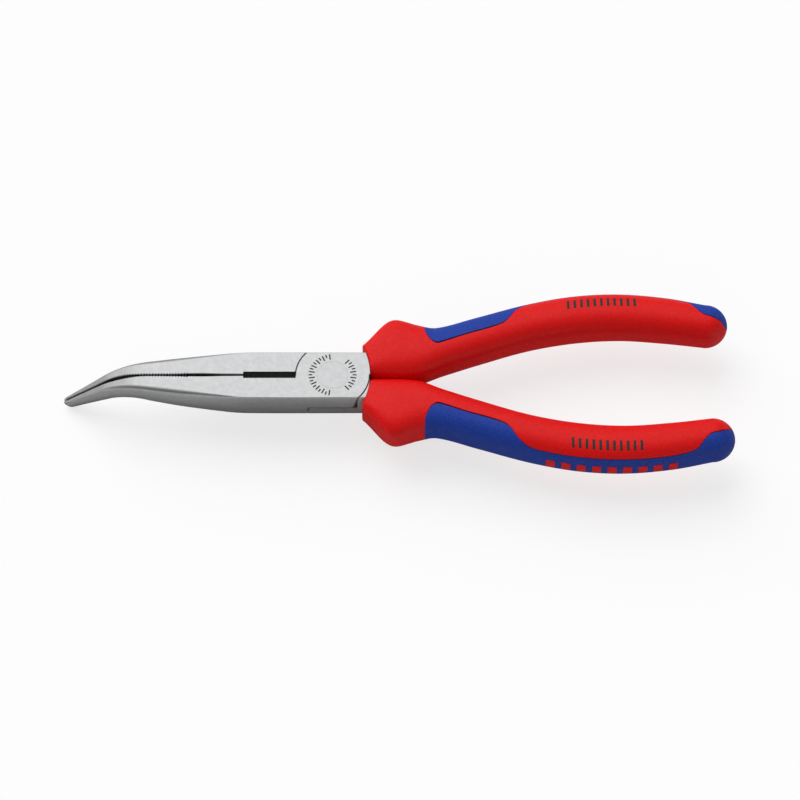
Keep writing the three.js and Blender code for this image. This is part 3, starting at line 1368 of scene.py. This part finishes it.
@dataclass
class Grip:
    """One handle's grip: the hard shell with a pocket, and the soft insert in it."""

    letter: str
    shape: GripShape
    outline: InsertOutline = field(default_factory=InsertOutline)
    stretches: tuple[tuple[float, float, int], ...] = (
        (7.0, 26.4, 26),
        (33.0, 50.0, 12),
        (50.7, 62.0, 18),
        (63.6, 102.0, 24),
        (102.7, 112.0, 16),
    )
    lobe_steps: int = 10
    cap_steps: int = 16
    closest_rings: float = 0.12
    insert_columns: int = 30
    shell_columns: int = 42
    insert_depth: float = 1.9
    insert_fill: float = 0.97
    front_round: float = 1.1
    front_segments: int = 5
    groove_round: float = 0.34
    groove_segments: int = 3
    rim_margin: float = 1.0
    groove_angle: float = math.radians(50)
    crevice: float = 0.2
    most_sides: int = 8

    def _places(self) -> list[float]:
        """Where the section rings stand, closer together where the shape or the insert's edge turns.

        Returns:
            The places along the tool, in order.
        """
        o = self.outline
        quarter = math.pi / 2
        lobe_length = o.full_x - o.start_x
        lobe = [o.full_x - lobe_length * math.cos(t) for t in steps(0.0, quarter, self.lobe_steps)]
        reach = self.shape.end_x - self.shape.cap_start_x
        turns = steps(0.0, quarter, self.cap_steps)[1:-1]
        cap = [self.shape.cap_start_x + reach * math.sin(t) for t in turns]
        cap = [x for x in cap if abs(x - o.end_x) > self.closest_rings]
        even = [x for stretch in self.stretches for x in steps(*stretch)]
        return sorted({*even, *lobe, *cap, o.end_x})

    def _angles(self, x: float, crevice: float) -> list[float]:
        """The columns' angles, the insert's first, then the shell's, round to the start.

        Args:
            x: the section's place along the tool.
            crevice: how far the insert's edge is drawn in.

        Returns:
            The angles.
        """
        half = self.outline.half_angle(x) - crevice / self.shape.half_thickness.at(x)
        insert = steps(-half, half, self.insert_columns)
        return [*insert, *steps(half, 2 * math.pi - half, self.shell_columns)[1:-1]]

    def _whole(self, crevice: float = 0.0) -> tuple[bmesh.types.BMesh, bmesh.types.BMLayerItem]:
        """The whole grip with its insert's faces marked 1.

        Args:
            crevice: how far the insert's edge is drawn in.

        Returns:
            The closed body and its mark.
        """
        bm = bmesh.new()
        mark = bm.faces.layers.int.new("insert")
        places = self._places()
        rings = [[self.shape.point(x, a) for a in self._angles(x, crevice)] for x in places]
        grid = sheet_through(bm, [[*ring, ring[0]] for ring in rings])
        rank = {v: (r, c) for r, verts in enumerate(grid) for c, v in enumerate(verts)}
        for face in bm.faces:
            row = min(rank[v][0] for v in face.verts)
            column = min(rank[v][1] for v in face.verts)
            along = places[row] + PLACE_TOLERANCE_MM
            inside = self.outline.start_x <= along < self.outline.end_x and column < self.insert_columns
            face[mark] = int(inside or along >= self.outline.end_x)
        bmesh.ops.remove_doubles(bm, verts=bm.verts, dist=MERGE_MM)
        self._close(bm, mark)
        return bm, mark

    def _close(self, bm: bmesh.types.BMesh, mark: bmesh.types.BMLayerItem) -> None:
        """Caps the front with a rounded edge and the far end with a small crown.

        Args:
            bm: the open grip.
            mark: which faces are the insert's.
        """
        middle_x = self.outline.full_x
        for front in (True, False):
            rim = [e for e in bm.edges if e.is_boundary and (e.verts[0].co.x < middle_x) == front]
            cap = bmesh.ops.holes_fill(bm, edges=rim, sides=0)["faces"]
            for face in cap:
                face[mark] = 0 if front else 1
            if not front:
                bmesh.ops.poke(bm, faces=cap)
        bmesh.ops.recalc_face_normals(bm, faces=bm.faces)
        front_faces = [f for f in bm.faces if len(f.verts) > self.most_sides]
        rim = list({e for f in front_faces for e in f.edges})
        self._bevel(bm, rim, self.front_round, self.front_segments)

    @staticmethod
    def _bevel(
        bm: bmesh.types.BMesh, edges: Sequence[bmesh.types.BMEdge], offset: float, segments: int
    ) -> None:
        """Rounds edges.

        Args:
            bm: the mesh.
            edges: its edges to round.
            offset: how far the round reaches from the edge.
            segments: how many steps it has.
        """
        bmesh.ops.bevel(
            bm,
            geom=edges,
            affect="EDGES",
            offset=offset,
            segments=segments,
            profile=0.5,
            material=-1,
            clamp_overlap=True,
        )

    def _round_rim(self, bm: bmesh.types.BMesh) -> None:
        """Rounds the outer edge where the insert and its pocket's wall meet the outside.

        Args:
            bm: the shell or the insert.
        """
        bm.normal_update()
        sharp = [e for e in bm.edges if e.is_manifold and e.calc_face_angle(0.0) > self.groove_angle]
        rim_start_x = self.outline.start_x - self.rim_margin
        outside = [e for e in sharp if e.is_convex and e.verts[0].co.x > rim_start_x]
        self._bevel(bm, outside, self.groove_round, self.groove_segments)

    def build_shell(self) -> bpy.types.Object:
        """The hard shell, with the pocket for the insert sunk in it.

        Returns:
            The shell, in millimetres.
        """
        bm, mark = self._whole()
        floor = [f for f in bm.faces if f[mark] == 1]
        made = bmesh.ops.extrude_face_region(bm, geom=floor)["geom"]
        bmesh.ops.delete(bm, geom=floor, context="FACES_KEEP_BOUNDARY")
        sunk = [v for v in made if isinstance(v, bmesh.types.BMVert)]
        for vert in sunk:
            vert.co -= vert.normal * self.insert_depth
        self._round_rim(bm)
        bmesh.ops.recalc_face_normals(bm, faces=bm.faces)
        return to_object(f"red_grip_{self.letter}", bm)

    def build_insert(self) -> bpy.types.Object:
        """The soft insert, its outer edge rounded where it meets the shell.

        Returns:
            The insert, in millimetres.
        """
        bm, mark = self._whole(self.crevice)
        bmesh.ops.delete(bm, geom=[f for f in bm.faces if f[mark] == 0], context="FACES")
        bmesh.ops.solidify(bm, geom=list(bm.faces), thickness=self.insert_depth * self.insert_fill)
        bmesh.ops.recalc_face_normals(bm, faces=bm.faces)
        self._round_rim(bm)
        return to_object(f"blue_insert_{self.letter}", bm)

    def build_bars(self, name: str, row: BarRow) -> bpy.types.Object:
        """A row of plain bars that lie on the grip's surface.

        Args:
            name: the piece's name.
            row: the bars' places and sizes.

        Returns:
            All the bars in one object, in millimetres.
        """
        bm = bmesh.new()
        low, high = (math.radians(a) for a in row.angles)
        angles = steps(low, high, row.steps_across)
        for x in steps(row.first_x, row.last_x, row.spaces):
            start, end = x - row.width / 2, x + row.width / 2
            corners = ((start, row.lift), (end, row.lift), (end, -row.root), (start, -row.root))
            rows = [[self.shape.point(along, a, lift) for a in angles] for along, lift in corners]
            part = bmesh.new()
            sheet_through(part, [[*ring, ring[0]] for ring in zip(*rows, strict=True)])
            close_tube(part)
            mesh = bpy.data.meshes.new("bar")
            part.to_mesh(mesh)
            part.free()
            bm.from_mesh(mesh)
            bpy.data.meshes.remove(mesh)
        return to_object(name, bm)


# --------------------------------------------------------------------------------------
# Marks, stage and the whole tool
# --------------------------------------------------------------------------------------


@dataclass(frozen=True)
class JointTicks:
    """Two arcs of short radial ticks etched round the rivet, every second one shorter."""

    top_z: float
    inner_radius: float = 5.3
    outer_radius: float = 7.1
    shorter_by: float = 0.7
    width: float = 0.42
    plate: float = 0.1
    stand: float = 0.015
    pitch: float = math.radians(9)
    arcs: tuple[tuple[float, float], ...] = ((98.0, 262.0), (-46.0, 46.0))

    def build(self) -> bpy.types.Object:
        """All the ticks as thin plates let into the face.

        Returns:
            The ticks in one object, in millimetres.
        """
        bm = bmesh.new()
        for arc in self.arcs:
            first, last = (math.radians(a) for a in arc)
            count = round((last - first) / self.pitch)
            for k, angle in enumerate(steps(first, last, count)):
                inner = self.inner_radius + (self.shorter_by if k % 2 else 0.0)
                length = self.outer_radius - inner
                middle = (inner + length / 2, 0, self.top_z - self.plate / 2 + self.stand)
                made = bmesh.ops.create_cube(bm, size=1)["verts"]
                bmesh.ops.scale(bm, verts=made, vec=(length, self.width, self.plate))
                bmesh.ops.translate(bm, verts=made, vec=middle)
                bmesh.ops.rotate(bm, verts=made, cent=(0, 0, 0), matrix=Matrix.Rotation(angle, 3, "Z"))
        return to_object("joint_ticks", bm)


@dataclass(frozen=True)
class SoftBox:
    """A rectangular light that shows only in the tool's gloss, in metres and watts."""

    name: str
    place: tuple[float, float, float]
    size: tuple[float, float]
    power: float

    def build(self, target: Vector) -> None:
        """Adds the light, turned towards the tool.

        Args:
            target: the point that it faces.
        """
        data = bpy.data.lights.new(self.name, "AREA")
        data.shape = "RECTANGLE"
        data.size, data.size_y = self.size
        data.energy = self.power
        light = bpy.data.objects.new(self.name, data)
        light.visible_diffuse = False
        light.location = self.place
        light.rotation_euler = (target - Vector(self.place)).to_track_quat("-Z", "Y").to_euler()
        bpy.context.scene.collection.objects.link(light)


@dataclass(frozen=True)
class Studio:
    """The floor, the lights and the camera, in metres."""

    floor_z: float
    target: Vector
    floor_reach: float = 3.0
    elevation: float = math.radians(60)
    distance: float = 0.8
    lens: float = 121.3
    sensor: float = 36.0
    sun_strength: float = 2.35
    sun_spread: float = math.radians(60)
    sun_from: Vector = field(default_factory=lambda: Vector((-0.45, 0.7, 0.9)))
    soft_boxes: tuple[SoftBox, ...] = (
        SoftBox("back_panel", (-0.05, 0.55, 0.95), (1.3, 0.8), 2.15),
        SoftBox("left_panel", (-0.85, 0.85, 0.55), (0.9, 0.7), 1.3),
        SoftBox("right_panel", (0.9, -0.9, 0.4), (0.9, 0.6), 1.0),
    )
    ambient: float = 0.36
    backdrop: float = 0.95
    above_axis: tuple[float, float, float] = (0, 0.35, 0.94)
    above_glow: tuple[float, float] = (0.05, 0.6)
    above_edges: tuple[float, float] = (0.35, 1.0)
    up_axis: tuple[float, float, float] = (0, 0, 1)
    horizon_glow: tuple[float, float] = (0.62, 0.0)
    horizon_edges: tuple[float, float] = (0.22, 0.5)

    def build(self) -> None:
        """Sets the stage."""
        self._floor()
        for soft_box in self.soft_boxes:
            soft_box.build(self.target)
        self._sun()
        self._surroundings()
        self._camera()
        bpy.context.scene.view_settings.view_transform = "Standard"

    def _floor(self) -> None:
        """The plain floor under the tool."""
        bm = bmesh.new()
        bmesh.ops.create_grid(bm, x_segments=1, y_segments=1, size=self.floor_reach)
        floor = to_object("floor", bm)
        floor.data.transform(Matrix.Translation((0, 0, self.floor_z)))
        floor.data.materials.append(FloorPaint().make())

    def _sun(self) -> None:
        """The main soft light, which falls evenly on the whole floor."""
        data = bpy.data.lights.new("key", "SUN")
        data.energy = self.sun_strength
        data.angle = self.sun_spread
        sun = bpy.data.objects.new("key", data)
        sun.visible_glossy = False
        sun.rotation_euler = (-self.sun_from).to_track_quat("-Z", "Y").to_euler()
        bpy.context.scene.collection.objects.link(sun)

    @staticmethod
    def _height(sheet: NodeSheet, axis: Sequence[float]) -> Socket:
        """How far each direction of the surroundings lies along an axis.

        Args:
            sheet: the surroundings' nodes.
            axis: the axis.

        Returns:
            The value, from -1 to 1.
        """
        facing = sheet.add("ShaderNodeVectorMath", operation="DOT_PRODUCT")
        facing.inputs[1].default_value = Vector(axis).normalized()
        sheet.wire(sheet.add("ShaderNodeTexCoord").outputs["Generated"], facing.inputs[0])
        return facing.outputs["Value"]

    def _surroundings(self) -> None:
        """A dim even light, a brighter sky and horizon in the gloss, and a white backdrop."""
        world = bpy.data.worlds.new("studio")
        world.use_nodes = True
        sheet = NodeSheet(world.node_tree)
        background = world.node_tree.nodes["Background"]
        background.inputs["Strength"].default_value = 1.0
        path = sheet.add("ShaderNodeLightPath")
        above = sheet.spread(self._height(sheet, self.above_axis), *self.above_glow, self.above_edges)
        horizon = sheet.spread(self._height(sheet, self.up_axis), *self.horizon_glow, self.horizon_edges)
        lit = sheet.spread(path.outputs["Is Glossy Ray"], self.ambient, 0.0, (0.0, 1.0))
        mirrored = sheet.add("ShaderNodeMath", operation="MULTIPLY_ADD")
        sheet.wire(sheet.larger(above, horizon), mirrored.inputs[0])
        sheet.wire(path.outputs["Is Glossy Ray"], mirrored.inputs[1])
        sheet.wire(lit, mirrored.inputs[2])
        backdrop = sheet.spread(path.outputs["Is Camera Ray"], 0.0, self.backdrop, (0.0, 1.0))
        sheet.wire(sheet.larger(mirrored.outputs["Value"], backdrop), background.inputs["Color"])
        bpy.context.scene.world = world

    def _camera(self) -> None:
        """The camera, level and square to the tool's length."""
        data = bpy.data.cameras.new("camera")
        data.lens = self.lens
        data.sensor_width = self.sensor
        camera = bpy.data.objects.new("camera", data)
        away = Vector((0, -math.cos(self.elevation), math.sin(self.elevation)))
        camera.location = self.target + away * self.distance
        camera.rotation_euler = (math.pi / 2 - self.elevation, 0, 0)
        bpy.context.scene.collection.objects.link(camera)
        bpy.context.scene.camera = camera


@dataclass
class Pliers:
    """The whole tool on its CAD bodies."""

    places: ToolPlaces
    effects: Effects
    lap_z: float = 4.2
    lap_gap: float = 0.17
    upper_draft: float = 0.75
    lower_draft: float = 0.12
    steel: GroundSteel = GroundSteel("ground_steel")
    rivet_steel: GroundSteel = GroundSteel("rivet_steel", bright=(0.64, 0.645, 0.65))
    red: GripPlastic = GripPlastic(
        "red_plastic",
        light=(0.82, 0.003, 0.003),
        deep=(0.64, 0.001, 0.001),
        roughness=(0.30, 0.50),
        grain_depth=0.7,
    )
    blue: GripPlastic = GripPlastic(
        "blue_soft_plastic",
        light=(0.013, 0.053, 0.39),
        deep=(0.006, 0.033, 0.26),
        roughness=(0.38, 0.58),
        grain_depth=0.75,
    )
    ink: PrintInk = PrintInk("marking_ink")
    raised_bars: BarRow = BarRow(64, 100, 8, width=2.6, angles=(-13, 13), lift=0.12)
    printed_bars: BarRow = BarRow(70.5, 90.5, 10, width=0.8, angles=(64, 88), lift=0.02)

    def build(self) -> None:
        """Builds, dresses and hangs every piece."""
        body_a = frame["nodes"]["lever_a"]["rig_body"]
        body_b = frame["nodes"]["lever_b"]["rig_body"]
        ink = self.ink.make(self.effects)
        self._build_steel(body_a, body_b, ink)
        red = self.red.make(self.effects)
        blue = self.blue.make(self.effects)
        for letter, side, body in (("a", Side.PLUS_Y, body_a), ("b", Side.MINUS_Y, body_b)):
            grip = Grip(letter, GripShape(side, self.places.mid_z, self.places.grip_end_x))
            finish_piece(grip.build_shell(), body, red, f"grip_shell_{letter}")
            finish_piece(grip.build_insert(), body, blue, f"grip_insert_{letter}")
            finish_piece(grip.build_bars(f"grip_bars_{letter}", self.raised_bars), body, red)
            finish_piece(grip.build_bars(f"grip_print_{letter}", self.printed_bars), body, ink)

    def _build_steel(self, body_a: str, body_b: str, ink: bpy.types.Material) -> None:
        """Builds the levers, the rivet and the ticks on the joint.

        Args:
            body_a: the CAD body of lever a, which holds the rivet.
            body_b: the CAD body of lever b.
            ink: the ticks' material.
        """
        p = self.places
        steel = self.steel.make(self.effects)
        head = HeadShape(p.top_z, p.tip_x)
        upper = Lap(p.top_z, self.lap_z + self.lap_gap, self.upper_draft)
        lower = Lap(0.0, self.lap_z - self.lap_gap, self.lower_draft)
        rivet = Rivet(p.top_z, p.rivet_radius)
        recess = CutterRecess(p.top_z)
        tang = Tang(p.mid_z)
        lever_a = Lever("steel_lever_a", Side.MINUS_Y, head, upper, lower, recess, tang, rivet.bore)
        lever_b = Lever("steel_lever_b", Side.PLUS_Y, head, lower, upper, recess, tang, rivet.bore)
        finish_piece(lever_a.build(), body_a, steel, "lever_a")
        finish_piece(lever_b.build(), body_b, steel, "lever_b")
        rivet_steel = self.rivet_steel.make(self.effects)
        flush_rivet = to_object("flush_rivet", rivet.body())
        finish_piece(flush_rivet, body_a, rivet_steel, "joint_rivet")
        finish_piece(JointTicks(p.top_z).build(), body_a, ink)


def main() -> None:
    """Builds the studio and the tool."""
    logging.basicConfig(level=logging.INFO, format="%(message)s")
    places = ToolPlaces.from_frame()
    target = Vector((VIEW_CENTRE_X, VIEW_CENTRE_Y, places.mid_z * MM))
    Studio((places.floor_z - FLOOR_GAP_MM) * MM, target).build()
    Pliers(places, Effects()).build()


if __name__ == "__main__":
    main()
